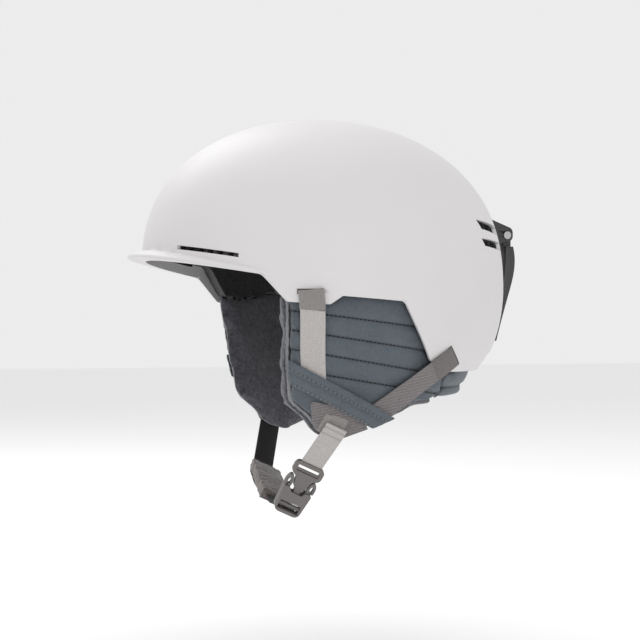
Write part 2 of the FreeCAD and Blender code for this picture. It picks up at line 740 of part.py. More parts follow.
def goggle_bracket():
    """Plate on the shell with two ears that hold the hinge pin."""
    rear = rear_y(pivot_z)
    plate = box((-11, 11), (rear - 30, rear + 30), (pivot_z - 11, pivot_z + 15))
    bracket = layer_dome(-bracket_wall, -seat_gap).common(plate)
    low, high, back = pivot_z - knuckle_radius, pivot_z + knuckle_radius, pivot_y + knuckle_radius
    bottom, top, root = pivot_z - 7, pivot_z + 12, bracket_wall / 2
    profile = [(rear_y(bottom) + root, bottom, 0), (pivot_y - 1, low, 3), (back, low, 4), (back, high, 4),
               (rear_y(top) + root, top, 0)]
    inner = knuckle_half + 0.5
    for near in (inner, -inner - ear_thickness):
        bracket = bracket.fuse(side_prism(profile, near, near + ear_thickness))
    return bracket.cut(crossbar(pivot_radius, -20, 20))


def goggle_pin():
    """Hinge pin with a head on the wearer's left."""
    end = knuckle_half + 0.5 + ear_thickness
    head = crossbar(pivot_radius + 1.1, end + 0.1, end + 1.1)
    return crossbar(pivot_radius, -end - 0.7, end + 0.7).fuse(head)


def stud_cylinder(radius, first, last):
    """Round bar at the stud, from first to last along its outward axis."""
    foot = Vector(0, stud_y, stud_z) + stud_out * first
    return Part.makeCylinder(radius, last - first, foot, stud_out)


def goggle_stud():
    """Peg on the shell that the arm's hole drops over."""
    return stud_cylinder(stud_radius, -1.5, 5.4).cut(dome(-seat_gap))


# Level, and how far the arm's outer and inner faces stand off the shell there
ARM_LEVELS = ((21.0, 14.0, 8.2), (7.0, 13.1, 5.9), (-14.0, 7.6, 2.2), (-36.0, 4.35, 0.75),
              (-46.0, 4.85, 2.25))


def goggle_arm():
    """Curved blade that presses the goggle strap against the shell."""
    outside, inside = Part.BSplineCurve(), Part.BSplineCurve()
    outer = [Vector(0, rear_y(level) + out, level) for level, out, _ in ARM_LEVELS]
    inner = [Vector(0, rear_y(level) + out, level) for level, _, out in reversed(ARM_LEVELS)]
    outside.interpolate(outer)
    inside.interpolate(inner)
    edges = [outside.toShape(), Part.makeLine(outer[-1], inner[0]), inside.toShape(),
             Part.makeLine(inner[-1], outer[0])]
    blade = Part.Face(Part.Wire(edges)).extrude(Vector(2 * retainer_half_width, 0, 0))
    blade.translate(Vector(-retainer_half_width, 0, 0))
    neck = box((-knuckle_half, knuckle_half), (pivot_y - 1.2, pivot_y + 4.4), (pivot_z - 9, pivot_z))
    arm = blade.fuse(neck).fuse(crossbar(knuckle_radius, -knuckle_half, knuckle_half))
    return arm.cut(crossbar(pivot_radius + 0.08, -20, 20)).cut(stud_cylinder(stud_radius + 0.35, -3, 12))


def bracket_screw():
    """Round screw head on the bracket's plate."""
    level = pivot_z + 8.5
    head = Part.makeCylinder(3.0, 12.0, Vector(0, rear_y(level) - 2.1, level), Vector(0, 1, 0.25))
    return head.cut(dome(-bracket_wall - seat_gap)).common(dome(-bracket_wall - 2.2))


def save(name, shape):
    shape.exportStep("parts/%s.step" % name)
    print("%-24s solids %d  volume %.0f  valid %s"
          % (name, len(shape.Solids), shape.Volume, shape.isValid()))


def save_pair(name, shape):
    for side, piece in both_sides(shape).items():
        save("%s_%s" % (name, side), piece)


def placed(shape, plane):
    shape.Placement = plane * shape.Placement
    return shape


os.makedirs("parts", exist_ok=True)
save("outer_shell", outer_shell())
save("eps_liner", eps_liner())
save_pair("brow_vent_insert", brow_insert())
save_pair("rear_vent_insert", rear_insert())
save("brow_pad", brow_pad())
save("crown_pad", crown_pad())
save_pair("side_pad", side_pad())
save("rear_pad", rear_pad())
save_pair("ear_pad_cover", ear_pad_cover())
save_pair("ear_pad_lining", ear_pad_lining())
save_pair("ear_pad_piping", ear_pad_piping())
save_pair("ear_pad_snaps", snap_pins(0))
save("neck_roll", neck_roll())
save_pair("front_strap", front_strap())
save_pair("rear_strap", rear_strap())
save_pair("strap_anchors", strap_anchors())
save_pair("strap_tab", strap_tab())
save_pair("strap_sleeve", strap_sleeve())
save("chin_strap_left", chin_strap_left())
save("chin_strap_right", chin_strap_right())
save("chin_strap_tail", chin_strap_tail())
save("chin_pad", chin_pad())
save("buckle_female", placed(buckle_female(), BUCKLE_PLANE))
save("buckle_male", placed(buckle_male(), BUCKLE_PLANE))
arm = buckle_arm()
save("buckle_arm_front", placed(arm.mirror(Vector(0, 0, 0), Vector(1, 0, 0)), BUCKLE_PLANE))
save("buckle_arm_rear", placed(arm.copy(), BUCKLE_PLANE))
save("goggle_bracket", goggle_bracket())
save("goggle_pin", goggle_pin())
save("goggle_stud", goggle_stud())
save("goggle_arm", goggle_arm())
save("bracket_screw", bracket_screw())
for name, point in (("buckle mouth", MOUTH_POINT), ("buckle axis", BUCKLE_AXIS),
                    ("arm root rear", BUCKLE_PLANE.multVec(Vector(*ARM_ROOT, 0))),
                    ("arm root front", BUCKLE_PLANE.multVec(Vector(-ARM_ROOT[0], ARM_ROOT[1], 0))),
                    ("buckle thickness", ACROSS.cross(BUCKLE_AXIS))):
    print("%s (%.4f, %.4f, %.4f)" % (name, *point))
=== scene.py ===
# %% [markdown]
# # A ski helmet: painted shell, quilted ear pads, webbing harness
# The hard structure of the helmet comes in as a fixed frame, and every cloth piece is made here on top of it.
# All lengths are metres: +Z up, -Y the front of the head, +X the wearer's left.

# %% Load the frame
import bpy
import json
import math
from mathutils import Matrix, Vector
from mathutils.noise import hetero_terrain

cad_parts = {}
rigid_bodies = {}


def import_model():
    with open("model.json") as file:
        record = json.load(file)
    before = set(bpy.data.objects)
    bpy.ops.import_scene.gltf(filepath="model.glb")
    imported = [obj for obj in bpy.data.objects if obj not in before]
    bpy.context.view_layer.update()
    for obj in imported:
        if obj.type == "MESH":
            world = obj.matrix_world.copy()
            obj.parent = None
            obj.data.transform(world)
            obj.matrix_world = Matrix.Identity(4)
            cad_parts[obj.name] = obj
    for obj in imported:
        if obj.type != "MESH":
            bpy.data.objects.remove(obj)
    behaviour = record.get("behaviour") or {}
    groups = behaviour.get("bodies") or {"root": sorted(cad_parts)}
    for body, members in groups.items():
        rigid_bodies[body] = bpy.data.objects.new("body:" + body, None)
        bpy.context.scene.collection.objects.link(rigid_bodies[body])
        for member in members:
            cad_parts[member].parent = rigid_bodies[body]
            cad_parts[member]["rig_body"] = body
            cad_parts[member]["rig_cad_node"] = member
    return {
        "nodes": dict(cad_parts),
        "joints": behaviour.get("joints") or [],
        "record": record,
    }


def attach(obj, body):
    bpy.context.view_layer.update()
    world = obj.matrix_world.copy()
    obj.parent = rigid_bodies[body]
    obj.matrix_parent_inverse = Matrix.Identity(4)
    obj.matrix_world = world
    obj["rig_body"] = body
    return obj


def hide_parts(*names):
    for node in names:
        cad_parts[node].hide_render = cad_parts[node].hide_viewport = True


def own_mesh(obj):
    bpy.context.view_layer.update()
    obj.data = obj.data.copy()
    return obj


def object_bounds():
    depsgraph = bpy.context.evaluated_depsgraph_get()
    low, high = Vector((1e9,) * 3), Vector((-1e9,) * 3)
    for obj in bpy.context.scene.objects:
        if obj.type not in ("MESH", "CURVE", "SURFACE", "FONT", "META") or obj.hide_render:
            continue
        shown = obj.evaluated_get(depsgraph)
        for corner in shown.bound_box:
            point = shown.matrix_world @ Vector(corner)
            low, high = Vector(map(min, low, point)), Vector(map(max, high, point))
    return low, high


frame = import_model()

solid_low, solid_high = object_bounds()
nodes = frame["nodes"]
print("solid model from", tuple(round(v, 4) for v in solid_low), "to", tuple(round(v, 4) for v in solid_high))

# %% [markdown]
# ## Camera
# A helmet is sold from its side, turned a little so that the far ear pad shows through the face opening.
# A long lens keeps the shape true, and the pale room shows all round it.

# %% Camera
VIEW_TURN = 73.0
VIEW_RISE = 0.4
VIEW_DISTANCE = 1.3
LOOK_AT = Vector((0.0, -0.003, -0.031))
FIELD_WIDTH = 0.4444


def direction(turn, rise):
    """Unit vector from the helmet towards a viewer."""
    a, e = math.radians(turn), math.radians(rise)
    return Vector((math.sin(a) * math.cos(e), -math.cos(a) * math.cos(e), math.sin(e)))


camera_data = bpy.data.cameras.new("camera")
camera = bpy.data.objects.new("camera", camera_data)
bpy.context.scene.collection.objects.link(camera)
camera_data.lens = camera_data.sensor_width * VIEW_DISTANCE / FIELD_WIDTH
camera.location = LOOK_AT + direction(VIEW_TURN, VIEW_RISE) * VIEW_DISTANCE
camera.rotation_euler = (-direction(VIEW_TURN, VIEW_RISE)).to_track_quat("-Z", "Y").to_euler()
camera_data.clip_start = 0.05
camera_data.clip_end = 30
bpy.context.scene.camera = camera
print("lens", round(camera_data.lens, 1), "mm")

# %% [markdown]
# ## Selecting and editing
# A modelling operator acts on everything that is selected, so each step starts by letting go of all of it.
# These helpers select one object, open its mesh, copy or mirror a piece, and hand it over when it is done.

# %% Selecting and editing helpers


def only(piece):
    """Make a piece the one selected and active object."""
    bpy.ops.object.select_all(action="DESELECT")
    piece.select_set(True)
    bpy.context.view_layer.objects.active = piece


def named(name):
    """Name the active object and its mesh."""
    piece = bpy.context.view_layer.objects.active
    piece.name = piece.data.name = name
    return piece


def modify(piece, kind, **settings):
    """Add a modifier and apply it at once."""
    only(piece)
    modifier = piece.modifiers.new(kind.lower(), kind)
    for key, value in settings.items():
        setattr(modifier, key, value)
    bpy.ops.object.modifier_apply(modifier=modifier.name)


def edit(piece):
    """Open a piece's mesh with all of it selected."""
    only(piece)
    bpy.ops.object.mode_set(mode="EDIT")
    bpy.ops.mesh.select_all(action="SELECT")


def done():
    """Close the open mesh."""
    bpy.ops.object.mode_set(mode="OBJECT")


MERGE_DISTANCE = 0.00002


def copy_of(node, name):
    """A closed copy of a frame node, free to be shaped."""
    piece = nodes[node].copy()
    piece.data = nodes[node].data.copy()
    bpy.context.scene.collection.objects.link(piece)
    piece.parent = None
    piece.hide_viewport = piece.hide_render = False
    piece.hide_set(False)
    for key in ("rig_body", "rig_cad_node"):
        if key in piece:
            del piece[key]
    piece.name = piece.data.name = name
    piece.data.materials.clear()
    edit(piece)
    bpy.ops.mesh.remove_doubles(threshold=MERGE_DISTANCE)
    done()
    return piece


def mirror_of(piece, name):
    """The same piece for the wearer's right."""
    twin = piece.copy()
    twin.data = piece.data.copy()
    bpy.context.scene.collection.objects.link(twin)
    twin.name = twin.data.name = name
    twin.data.transform(Matrix.Scale(-1, 4, (1, 0, 0)))
    twin.data.flip_normals()
    return twin


def smooth(piece, angle=None):
    """Shade a piece smooth, only up to a sharp angle in degrees where one is given."""
    only(piece)
    if angle is None:
        bpy.ops.object.shade_smooth()
    else:
        bpy.ops.object.shade_smooth_by_angle(angle=math.radians(angle))


def shift_points(piece, move):
    """Move every point by move(point, normal), with all normals as they were before."""
    normals = [v.normal.copy() for v in piece.data.vertices]
    for vertex, normal in zip(piece.data.vertices, normals):
        vertex.co += move(vertex.co, normal)
    piece.data.update()


def body_of_node(node):
    """The CAD body that a frame node belongs to."""
    return next(b for b, members in frame["record"]["behaviour"]["bodies"].items() if node in members)


def finish_piece(piece, node, material, stands_for=()):
    """Give a piece its material, its body and the frame nodes that it stands for."""
    if not piece.data.materials:
        piece.data.materials.append(material)
    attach(piece, body_of_node(node))
    if stands_for:
        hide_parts(*stands_for)
    print(piece.name, len(piece.data.polygons), "faces")


def finish_pair(left, node, material):
    """Mirror a left piece and finish both; each stands for the frame node of its own side."""
    right = mirror_of(left, left.name.replace("left", "right"))
    for side, piece in (("left", left), ("right", right)):
        finish_piece(piece, node + side, material, [node + side])


# %% [markdown]
# ## Floor and studio light
# A big pale floor and a pale room light give a plain studio. A large soft lamp above and behind lights
# the top edge of the shell, one overhead lights the floor, and a small low one lights what leans down.

# %% Floor and light
FLOOR_SIZE = 12
FLOOR_GAP = 0.10
ROOM_STRENGTH = 0.84
bpy.ops.object.select_all(action="DESELECT")
bpy.ops.mesh.primitive_plane_add(size=FLOOR_SIZE, location=(0, 0, solid_low.z - FLOOR_GAP))
floor = named("studio_floor")
floor_paint = bpy.data.materials.new("floor_paint")
floor_paint.use_nodes = True
floor_shader = floor_paint.node_tree.nodes["Principled BSDF"]
floor_shader.inputs["Base Color"].default_value = (0.93, 0.93, 0.93, 1)
floor_shader.inputs["Roughness"].default_value = 0.9
floor.data.materials.append(floor_paint)

room = bpy.data.worlds.new("studio_room")
bpy.context.scene.world = room
room.use_nodes = True
backdrop = room.node_tree.nodes["Background"]
backdrop.inputs["Color"].default_value = (1, 1, 1, 1)
backdrop.inputs["Strength"].default_value = ROOM_STRENGTH


def lamp(name, turn, rise, distance, size, power):
    """A square soft lamp that faces the helmet."""
    data = bpy.data.lights.new(name, "AREA")
    data.size, data.energy = size, power
    light = bpy.data.objects.new(name, data)
    bpy.context.scene.collection.objects.link(light)
    light.location = direction(turn, rise) * distance
    light.rotation_euler = (-direction(turn, rise)).to_track_quat("-Z", "Y").to_euler()


lamp("edge_lamp", turn=290, rise=48, distance=1.9, size=1.1, power=13.0)
lamp("top_lamp", turn=60, rise=84, distance=1.9, size=1.3, power=5.0)
lamp("low_lamp", turn=92, rise=-4, distance=1.6, size=0.22, power=2.2)
bpy.context.scene.view_settings.view_transform = "Standard"
print(len(bpy.data.lights), "lamps")

# %% [markdown]
# ## Building materials with nodes
# A material here is a short list of nodes. The effects that several materials share, such as fine grain
# and webbing weave, are node groups with named inputs, so each material only sets its own values.

# %% Node helpers


def calc(tree, operation, *values):
    """A math node; values are numbers or sockets."""
    node = tree.nodes.new("ShaderNodeMath")
    node.operation = operation
    for socket, value in zip(node.inputs, values):
        if isinstance(value, (int, float)):
            socket.default_value = value
        else:
            tree.links.new(value, socket)
    return node.outputs[0]


def blend_colours(tree, share, first, second):
    """Mix two colours by a share; colours are tuples or sockets."""
    node = tree.nodes.new("ShaderNodeMix")
    node.data_type = "RGBA"
    tree.links.new(share, node.inputs["Factor"])
    colour_inputs = [s for s in node.inputs if s.type == "RGBA"]
    for socket, value in zip(colour_inputs, (first, second)):
        if isinstance(value, tuple):
            socket.default_value = (*value, 1) if len(value) == 3 else value
        else:
            tree.links.new(value, socket)
    return next(s for s in node.outputs if s.type == "RGBA")


def noise(tree, vector, scale, detail):
    """A noise texture of fixed scale."""
    node = tree.nodes.new("ShaderNodeTexNoise")
    node.inputs["Scale"].default_value = scale
    node.inputs["Detail"].default_value = detail
    node.inputs["Roughness"].default_value = 0.55
    tree.links.new(vector, node.inputs["Vector"])
    return node.outputs["Fac"]


def new_group(name, inputs, outputs):
    """An empty node group: its tree, its input sockets and its output sockets."""
    tree = bpy.data.node_groups.new(name, "ShaderNodeTree")
    for label, kind, value in inputs:
        socket = tree.interface.new_socket(label, in_out="INPUT", socket_type="NodeSocket" + kind)
        if value is not None:
            socket.default_value = value
    for label, kind in outputs:
        tree.interface.new_socket(label, in_out="OUTPUT", socket_type="NodeSocket" + kind)
    given = tree.nodes.new("NodeGroupInput").outputs
    result = tree.nodes.new("NodeGroupOutput").inputs
    return tree, given, result


def use_group(tree, group, **values):
    """Place a node group; spaces in an input's name are written as underscores."""
    node = tree.nodes.new("ShaderNodeGroup")
    node.node_tree = group
    for key, value in values.items():
        socket = node.inputs[key.replace("_", " ")]
        if isinstance(value, (int, float)):
            socket.default_value = value
        elif isinstance(value, tuple):
            socket.default_value = (*value, 1) if len(value) == 3 else value
        else:
            tree.links.new(value, socket)
    return node.outputs


def new_material(name, roughness, sheen=0.0, specular=0.5):
    """A material with its shader's constants set: returns it, its tree, its shader and coordinates."""
    material = bpy.data.materials.new(name)
    material.use_nodes = True
    tree = material.node_tree
    shader = tree.nodes["Principled BSDF"]
    shader.inputs["Roughness"].default_value = roughness
    shader.inputs["Sheen Weight"].default_value = sheen
    shader.inputs["Sheen Roughness"].default_value = 0.5
    shader.inputs["Specular IOR Level"].default_value = specular
    place = tree.nodes.new("ShaderNodeTexCoord").outputs["Object"]
    return material, tree, shader, place


def bump(tree, shader, height, strength, distance):
    """Tilt a shader's normal by a height."""
    node = tree.nodes.new("ShaderNodeBump")
    node.inputs["Strength"].default_value = strength
    node.inputs["Distance"].default_value = distance
    tree.links.new(height, node.inputs["Height"])
    tree.links.new(node.outputs["Normal"], shader.inputs["Normal"])


# %% [markdown]
# ### Grain, weave, cloth and stitches
# Paint and mouldings share a fine grain. Webbing is a weave of thick yarns, and cloth is one of fine
# threads under some fluff. A row of stitches pulls the cloth in beside it, and a band of painted shade is
# laid along it.

# %% Shared effect: moulded or painted grain
grain_tree, grain_in, grain_out = new_group(
    "surface_grain",
    [("Vector", "Vector", None), ("Grain Scale", "Float", 2500.0), ("Cloud Scale", "Float", 25.0),
     ("Base", "Color", (0.5, 0.5, 0.5, 1)), ("Cloud", "Color", (0.6, 0.6, 0.6, 1)),
     ("Roughness", "Float", 0.5), ("Roughness Spread", "Float", 0.1)],
    [("Color", "Color"), ("Roughness", "Float"), ("Height", "Float")])
grain_node = grain_tree.nodes.new("ShaderNodeTexNoise")
grain_node.inputs["Detail"].default_value = 2.0
cloud_node = grain_tree.nodes.new("ShaderNodeTexNoise")
cloud_node.inputs["Detail"].default_value = 3.0
for node, scale in ((grain_node, "Grain Scale"), (cloud_node, "Cloud Scale")):
    grain_tree.links.new(grain_in["Vector"], node.inputs["Vector"])
    grain_tree.links.new(grain_in[scale], node.inputs["Scale"])
tone = blend_colours(grain_tree, cloud_node.outputs["Fac"], grain_in["Base"], grain_in["Cloud"])
grain_tree.links.new(tone, grain_out["Color"])
uneven = calc(grain_tree, "MULTIPLY", calc(grain_tree, "SUBTRACT", grain_node.outputs["Fac"], 0.5),
              grain_in["Roughness Spread"])
grain_tree.links.new(calc(grain_tree, "ADD", grain_in["Roughness"], uneven), grain_out["Roughness"])
grain_tree.links.new(grain_node.outputs["Fac"], grain_out["Height"])

# %% Shared effect: webbing weave
# Warp yarns run along the strap and the weft crosses them. A Lean of 1 turns the crossings into the
# slanting ribs of a twill.
weave_tree, weave_in, weave_out = new_group(
    "webbing_weave",
    [("Across", "Float", 0.0), ("Along", "Float", 0.0), ("Yarn", "Float", 0.0009), ("Lean", "Float", 0.0),
     ("Vector", "Vector", None), ("Dark", "Color", (0.1, 0.1, 0.1, 1)),
     ("Light", "Color", (0.5, 0.5, 0.5, 1))],
    [("Color", "Color"), ("Height", "Float")])
columns = calc(weave_tree, "DIVIDE", weave_in["Across"], weave_in["Yarn"])
rows = calc(weave_tree, "DIVIDE", weave_in["Along"], weave_in["Yarn"])
skewed = calc(weave_tree, "ADD", rows, calc(weave_tree, "MULTIPLY", columns, weave_in["Lean"]))
yarn = calc(weave_tree, "ABSOLUTE", calc(weave_tree, "SINE", calc(weave_tree, "MULTIPLY", columns, math.pi)))
cross = calc(weave_tree, "SINE", calc(weave_tree, "MULTIPLY", skewed, math.pi))
upright = calc(weave_tree, "MULTIPLY", calc(weave_tree, "SUBTRACT", 1.0, weave_in["Lean"]), math.pi)
swap = calc(weave_tree, "MULTIPLY", cross,
            calc(weave_tree, "COSINE", calc(weave_tree, "MULTIPLY", columns, upright)))
over = calc(weave_tree, "MULTIPLY_ADD", swap, 0.5, 0.5)
height = calc(weave_tree, "MULTIPLY", calc(weave_tree, "MULTIPLY_ADD", yarn, 0.6, 0.4), over)
fluff = noise(weave_tree, weave_in["Vector"], 900.0, 4.0)
shade = calc(weave_tree, "MULTIPLY_ADD", calc(weave_tree, "SUBTRACT", fluff, 0.5), 0.9, height)
weave_tree.links.new(blend_colours(weave_tree, shade, weave_in["Dark"], weave_in["Light"]),
                     weave_out["Color"])
weave_tree.links.new(calc(weave_tree, "MULTIPLY_ADD", fluff, 0.35, height), weave_out["Height"])

# %% Shared effect: woven or brushed cloth
# Fine threads both ways, softened by fluff: threads matter on the quilted cloth, fluff on the fleece.
cloth_tree, cloth_in, cloth_out = new_group(
    "cloth_surface",
    [("Vector", "Vector", None), ("Thread", "Float", 0.0006), ("Threads", "Float", 0.5),
     ("Fluff Scale", "Float", 600.0), ("Fluff", "Float", 0.6), ("Dark", "Color", (0.1, 0.1, 0.1, 1)),
     ("Light", "Color", (0.3, 0.3, 0.3, 1))],
    [("Color", "Color"), ("Height", "Float")])
split = cloth_tree.nodes.new("ShaderNodeSeparateXYZ")
cloth_tree.links.new(cloth_in["Vector"], split.inputs[0])
waves = []
for axis in ("X", "Y", "Z"):
    steps = calc(cloth_tree, "DIVIDE", split.outputs[axis], cloth_in["Thread"])
    waves.append(calc(cloth_tree, "SINE", calc(cloth_tree, "MULTIPLY", steps, math.pi)))
crossing = calc(cloth_tree, "MULTIPLY", waves[1], waves[2])
threads = calc(cloth_tree, "MULTIPLY", crossing, cloth_in["Threads"])
fluff_node = cloth_tree.nodes.new("ShaderNodeTexNoise")
fluff_node.inputs["Detail"].default_value = 5.0
fluff_node.inputs["Roughness"].default_value = 0.7
cloth_tree.links.new(cloth_in["Vector"], fluff_node.inputs["Vector"])
cloth_tree.links.new(cloth_in["Fluff Scale"], fluff_node.inputs["Scale"])
fluffy = calc(cloth_tree, "MULTIPLY", calc(cloth_tree, "SUBTRACT", fluff_node.outputs["Fac"], 0.5),
              cloth_in["Fluff"])
patch = noise(cloth_tree, cloth_in["Vector"], 55.0, 3.0)
tone = calc(cloth_tree, "ADD", calc(cloth_tree, "MULTIPLY_ADD", threads, 0.35, 0.25),
            calc(cloth_tree, "MULTIPLY_ADD", fluffy, 2.2, calc(cloth_tree, "MULTIPLY", patch, 0.5)))
cloth_tree.links.new(blend_colours(cloth_tree, tone, cloth_in["Dark"], cloth_in["Light"]), cloth_out["Color"])
cloth_tree.links.new(calc(cloth_tree, "ADD", threads, calc(cloth_tree, "MULTIPLY", fluffy, 2.0)),
                     cloth_out["Height"])

# %% Shared effect: a row of stitches
# Across is the distance from the row, along is the distance down it; thread shows in dashes.
stitch_tree, stitch_in, stitch_out = new_group(
    "stitch_row",
    [("Across", "Float", 0.0), ("Along", "Float", 0.0), ("Thread", "Float", 0.0004),
     ("Pitch", "Float", 0.0028)],
    [("Mask", "Float"), ("Pull", "Float")])
beside = calc(stitch_tree, "ABSOLUTE", stitch_in["Across"])
on_row = calc(stitch_tree, "LESS_THAN", beside, stitch_in["Thread"])
beat = calc(stitch_tree, "SINE", calc(stitch_tree, "MULTIPLY", 2 * math.pi,
                                      calc(stitch_tree, "DIVIDE", stitch_in["Along"], stitch_in["Pitch"])))
stitch_tree.links.new(calc(stitch_tree, "MULTIPLY", on_row, calc(stitch_tree, "GREATER_THAN", beat, -0.35)),
                      stitch_out["Mask"])
# Painted shade: the second output is 0 at the row and 1 a little way off, and the materials darken the cloth
# where it is low, for the shade in the groove beside the stitches.
SEAM_SHADE_WIDTH = 0.0012
near = calc(stitch_tree, "DIVIDE", beside, SEAM_SHADE_WIDTH)
stitch_tree.links.new(calc(stitch_tree, "MINIMUM", near, 1.0), stitch_out["Pull"])
print("shared effects:", ", ".join(sorted(group.name for group in bpy.data.node_groups)))

# %% [markdown]
# ## Materials of the hard pieces
# The shell is sprayed matte white: nearly one colour, with a very fine grain that softens the highlight and
# a slow, faint change of tone. The mouldings are dark plastics with a coarser grain.

# %% Shell paint and mouldings


def show_grain(tree, shader, place, **values):
    """Let the grain set a shader's colour and roughness; returns the grain's height."""
    grain = use_group(tree, grain_tree, Vector=place, **values)
    tree.links.new(grain["Color"], shader.inputs["Base Color"])
    tree.links.new(grain["Roughness"], shader.inputs["Roughness"])
    return grain["Height"]


def shell_paint():
    """Matte white paint with a slow, faint change of tone."""
    material, tree, shader, place = new_material("shell_paint", roughness=0.5, specular=0.4)
    height = show_grain(tree, shader, place, Grain_Scale=2600.0, Cloud_Scale=14.0, Base=(0.655, 0.640, 0.640),
                        Cloud=(0.700, 0.686, 0.688), Roughness=0.5, Roughness_Spread=0.10)
    bump(tree, shader, height, 0.5, 0.00002)
    return material


def moulded(name, base, cloud, roughness):
    """Moulded plastic with a fine spark-eroded grain."""
    material, tree, shader, place = new_material(name, roughness=roughness)
    height = show_grain(tree, shader, place, Grain_Scale=1800.0, Cloud_Scale=60.0, Base=base, Cloud=cloud,
                        Roughness=roughness, Roughness_Spread=0.25)
    bump(tree, shader, height, 0.6, 0.00003)
    return material


paint = shell_paint()
louvre_plastic = moulded("louvre_plastic", (0.003, 0.003, 0.003), (0.006, 0.006, 0.006), 0.85)
buckle_plastic = moulded("buckle_plastic", (0.135, 0.124, 0.120), (0.170, 0.157, 0.152), 0.40)
retainer_plastic = moulded("retainer_plastic", (0.030, 0.030, 0.032), (0.045, 0.045, 0.048), 0.45)
anchor_plastic = moulded("anchor_plastic", (0.02, 0.02, 0.02), (0.03, 0.03, 0.03), 0.5)

# %% [markdown]
# The liner is moulded from foam beads, which show as small cells. The hinge pin and the screw are steel.

# %% Liner foam and steel


def foam_beads():
    """Moulded foam: small beads pressed together, seen as cells about 3 mm across."""
    material, tree, shader, place = new_material("liner_foam", roughness=0.75)
    cells = tree.nodes.new("ShaderNodeTexVoronoi")
    cells.feature = "DISTANCE_TO_EDGE"
    cells.inputs["Scale"].default_value = 330.0
    tree.links.new(place, cells.inputs["Vector"])
    edge = calc(tree, "MINIMUM", calc(tree, "MULTIPLY", cells.outputs["Distance"], 9.0), 1.0)
    tree.links.new(blend_colours(tree, edge, (0.012, 0.012, 0.013), (0.035, 0.035, 0.037)),
                   shader.inputs["Base Color"])
    bump(tree, shader, edge, 0.5, 0.0002)
    return material


def brushed_steel():
    """Bare steel with a fine grain in its gloss."""
    material, tree, shader, place = new_material("brushed_steel", roughness=0.35)
    shader.inputs["Metallic"].default_value = 1.0
    show_grain(tree, shader, place, Grain_Scale=4000.0, Cloud_Scale=200.0, Base=(0.42, 0.42, 0.43),
               Cloud=(0.55, 0.55, 0.55), Roughness=0.33, Roughness_Spread=0.3)
    return material


foam = foam_beads()
steel = brushed_steel()
print("hard finishes:", paint.name, foam.name, steel.name)

# %% [markdown]
# ## Materials of the soft pieces
# The ear pads are faced in a slate blue-grey woven cloth and lined in dark fleece. The chin pad is a
# brown-grey fleece. Rows of stitches are drawn by height and slope, as seen from the side.

# %% Cloth and fleece


def multiply_colour(tree, colour, shade):
    """Darken a colour by a shade."""
    node = tree.nodes.new("ShaderNodeMix")
    node.data_type = "RGBA"
    node.blend_type = "MULTIPLY"
    node.inputs["Factor"].default_value = 1.0
    colour_inputs = [s for s in node.inputs if s.type == "RGBA"]
    tree.links.new(colour, colour_inputs[0])
    tree.links.new(shade, colour_inputs[1])
    return next(s for s in node.outputs if s.type == "RGBA")


# Rows of stitches: height at the middle of the pad, and slope towards the back
QUILT_MIDDLE = 0.004
QUILT_ROWS = ((-0.0310, -0.125), (-0.0447, -0.152), (-0.0580, -0.172), (-0.0710, -0.168))
ROLL_SEAM = -0.0765
SLEEVE_SLOPE = -0.533
SLEEVE_ROWS = ((-0.0899, SLEEVE_SLOPE), (-0.0985, SLEEVE_SLOPE))


def cloth(name, dark, light, thread=0.0006, threads=0.5, fluff_scale=700.0, fluff=0.5, depth=0.0003,
          sheen=0.25, rows=(), thread_colour=(0.008, 0.009, 0.012)):
    """Cloth with the rows of stitches whose heights and slopes are given, and painted shade beside each row.
    """
    material, tree, shader, place = new_material(name, roughness=0.9, sheen=sheen, specular=0.25)
    surface = use_group(tree, cloth_tree, Vector=place, Thread=thread, Threads=threads,
                        Fluff_Scale=fluff_scale, Fluff=fluff, Dark=dark, Light=light)
    colour, height = surface["Color"], surface["Height"]
    if rows:
        spot = tree.nodes.new("ShaderNodeSeparateXYZ")
        tree.links.new(place, spot.inputs[0])
        across = None
        for level, slope in rows:
            back = calc(tree, "SUBTRACT", spot.outputs["Y"], QUILT_MIDDLE)
            line = calc(tree, "MULTIPLY_ADD", back, slope, level)
            gap = calc(tree, "ABSOLUTE", calc(tree, "SUBTRACT", spot.outputs["Z"], line))
            across = gap if across is None else calc(tree, "MINIMUM", across, gap)
        stitches = use_group(tree, stitch_tree, Across=across, Along=spot.outputs["Y"])
        colour = blend_colours(tree, stitches["Mask"], colour, thread_colour)
        # Painted shade: the colour is darkened beside each row, to 0.45 of itself at the row.
        colour = multiply_colour(tree, colour, calc(tree, "MULTIPLY_ADD", stitches["Pull"], 0.55, 0.45))
        height = calc(tree, "MULTIPLY_ADD", stitches["Mask"], -0.6, height)
    tree.links.new(colour, shader.inputs["Base Color"])
    bump(tree, shader, height, 0.8, depth)
    return material


SLATE = ((0.064, 0.078, 0.092), (0.140, 0.164, 0.188))
quilt_cloth = cloth("quilt_cloth", *SLATE, rows=QUILT_ROWS)
roll_cloth = cloth("roll_cloth", *SLATE, rows=[(ROLL_SEAM, 0.0)])
sleeve_cloth = cloth("sleeve_cloth", *SLATE, rows=SLEEVE_ROWS, thread_colour=(0.30, 0.32, 0.335))
fleece_cloth = cloth("fleece_cloth", (0.034, 0.034, 0.041), (0.155, 0.155, 0.178), threads=0.0,
                     fluff_scale=420.0, fluff=1.0, depth=0.0009, sheen=0.6)
comfort_cloth = cloth("comfort_cloth", (0.022, 0.020, 0.020), (0.085, 0.078, 0.074), thread=0.0008,
                      threads=0.7, fluff_scale=500.0, fluff=0.7, depth=0.0006)
chin_cloth = cloth("chin_cloth", (0.070, 0.054, 0.051), (0.235, 0.196, 0.186), threads=0.0,
                   fluff_scale=450.0, fluff=0.9, depth=0.0008, sheen=0.6)
piping_cloth = cloth("piping_cloth", (0.14, 0.147, 0.155), (0.36, 0.37, 0.39), thread=0.0005, threads=0.8)
print(len(bpy.data.materials), "materials so far")

# %% [markdown]
# Webbing comes in a pale, a middle and a black colour. Its weave follows the strap, so each strap material
# says which way runs across the strap and which way along it.

# %% Webbing material


